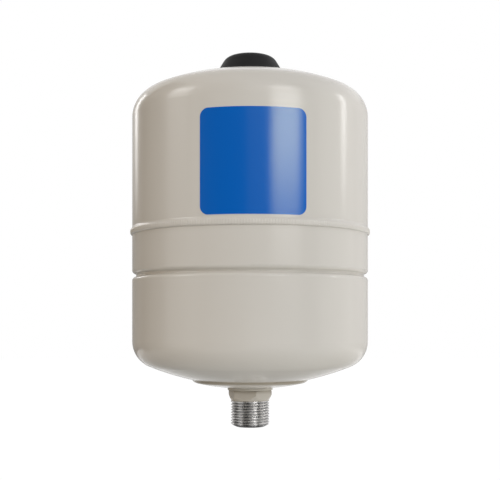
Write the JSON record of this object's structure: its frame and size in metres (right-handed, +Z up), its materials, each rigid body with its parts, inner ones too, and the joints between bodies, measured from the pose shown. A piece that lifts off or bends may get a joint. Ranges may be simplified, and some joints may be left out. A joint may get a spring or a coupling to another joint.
{
  "type": "well pressure tank",
  "caption": "Small in-line pressure tank: painted steel shell with a rolled groove, rubber diaphragm inside, threaded water connector below, capped air valve on top.",
  "frame": {"origin": "centre of the water connector's lower end face, on the tank's axis", "axes": "+Z up along the tank's axis towards the air valve; the label faces -Y, turned 1.5 degrees to +X"},
  "size_m": [0.2052, 0.2052, 0.3191],
  "materials": {
    "paint": "glossy almond enamel",
    "polypropylene": "natural, satin",
    "butyl_rubber": "moulded, matte",
    "band_steel": "rolled, bare",
    "stainless": "turned, bright",
    "brass": "turned, bright",
    "seal_plastic": "smooth",
    "spring_steel": "drawn wire",
    "black_plastic": "moulded, fine grain",
    "label_film": "printed film, glossy"
  },
  "bodies": {
    "tank": {"upper_shell": "paint", "lower_shell": "paint", "seam_weld": "paint", "stem_weld": "paint", "liner": "polypropylene", "diaphragm": "butyl_rubber", "clench_ring": "band_steel", "water_connector": "stainless", "connector_o_ring": "butyl_rubber", "valve_stem": "brass", "core_plug": "brass", "core_gasket": "seal_plastic", "core_barrel": "brass", "core_spring": "spring_steel", "valve_cap": "brass", "valve_cap_o_ring": "butyl_rubber", "label": "label_film"},
    "cap": {"protective_cap": "black_plastic"},
    "valve_pin": {"core_pin": "brass", "core_seal": "butyl_rubber"}
  },
  "joints": [
    {"name": "cap_lift", "type": "slide", "parent": "tank", "child": "cap", "axis": [0, 0, 1], "range_m": [0, 0.03]},
    {"name": "pin_press", "type": "slide", "parent": "tank", "child": "valve_pin", "axis": [0, 0, -1], "range_m": [0, 0.0012], "stiffness_N_per_m": 150, "springref_m": -0.001, "deforming": ["core_spring"]}
  ]
}
